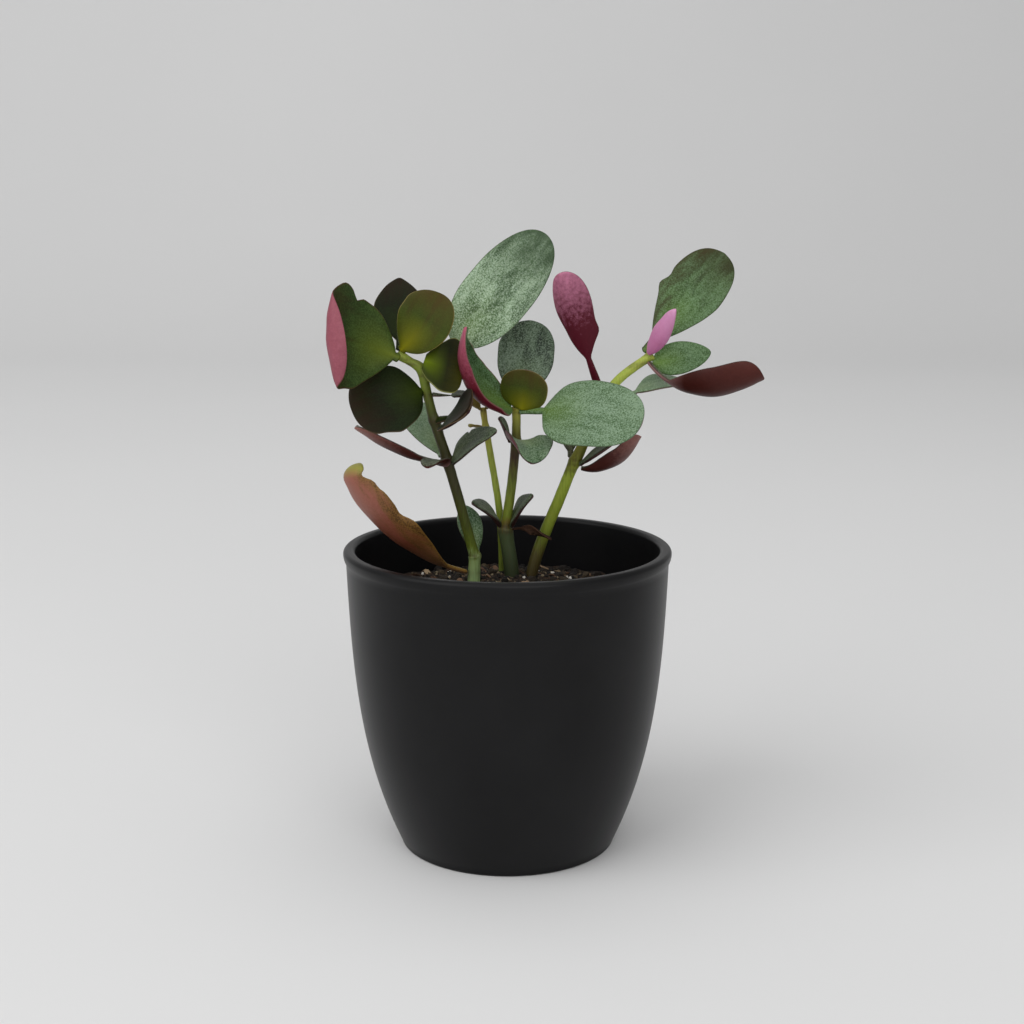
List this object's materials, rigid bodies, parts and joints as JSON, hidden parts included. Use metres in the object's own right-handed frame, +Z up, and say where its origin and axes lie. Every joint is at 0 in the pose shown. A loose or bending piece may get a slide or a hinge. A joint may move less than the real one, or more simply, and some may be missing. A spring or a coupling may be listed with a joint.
{
  "type": "potted crassula plant",
  "caption": "Small succulent with oval fleshy leaves on slender upright stems, growing in soil in a smooth round tapering pot.",
  "frame": {"origin": "centre of the pot's flat foot", "axes": "+Z up along the pot's axis, -Y to the plant's front, +X to its right"},
  "size_m": [0.153, 0.12, 0.2262],
  "materials": {
    "pot": "satin",
    "soil": "matte",
    "stem_left": "satin",
    "stem_middle": "satin",
    "stem_back": "satin",
    "stem_right": "satin",
    "leaf_bud": "satin",
    "leaf_crimson": "satin",
    "leaf_dark": "satin",
    "leaf_dried": "satin",
    "leaf_green": "satin",
    "leaf_olive": "satin",
    "leaf_russet": "satin",
    "leaf_salmon": "satin",
    "leaf_silver": "satin"
  },
  "bodies": {
    "root": {"pot": "pot", "soil": "soil", "stem_left": "stem_left", "stem_middle": "stem_middle", "stem_back": "stem_back", "stem_right": "stem_right", "leaf_left_spoon": "leaf_olive", "leaf_left_pointed": "leaf_dark", "leaf_left_upright": "leaf_olive", "leaf_left_cup": "leaf_dark", "leaf_left_front": "leaf_dark", "leaf_left_tall": "leaf_silver", "leaf_left_folded": "leaf_dark", "leaf_left_brown": "leaf_russet", "leaf_left_long": "leaf_russet", "leaf_left_pale": "leaf_silver", "leaf_left_slant": "leaf_silver", "leaf_left_small": "leaf_russet", "leaf_left_low": "leaf_green", "leaf_left_old": "leaf_salmon", "leaf_middle_folded": "leaf_green", "leaf_middle_broad": "leaf_silver", "leaf_middle_round": "leaf_olive", "leaf_middle_crimson": "leaf_crimson", "leaf_middle_back": "leaf_green", "leaf_middle_narrow": "leaf_green", "leaf_middle_low_left": "leaf_green", "leaf_middle_low_right": "leaf_green", "leaf_middle_dried": "leaf_dried", "bud_back_top_left": "leaf_bud", "bud_back_top_right": "leaf_bud", "bud_back_low": "leaf_bud", "leaf_right_pink": "leaf_crimson", "leaf_right_long": "leaf_green", "leaf_right_rise": "leaf_russet", "leaf_right_green": "leaf_green", "leaf_right_crescent": "leaf_russet", "leaf_right_tall": "leaf_green", "leaf_right_magenta": "leaf_crimson", "leaf_right_small": "leaf_green", "leaf_right_low": "leaf_russet"}
  },
  "joints": []
}
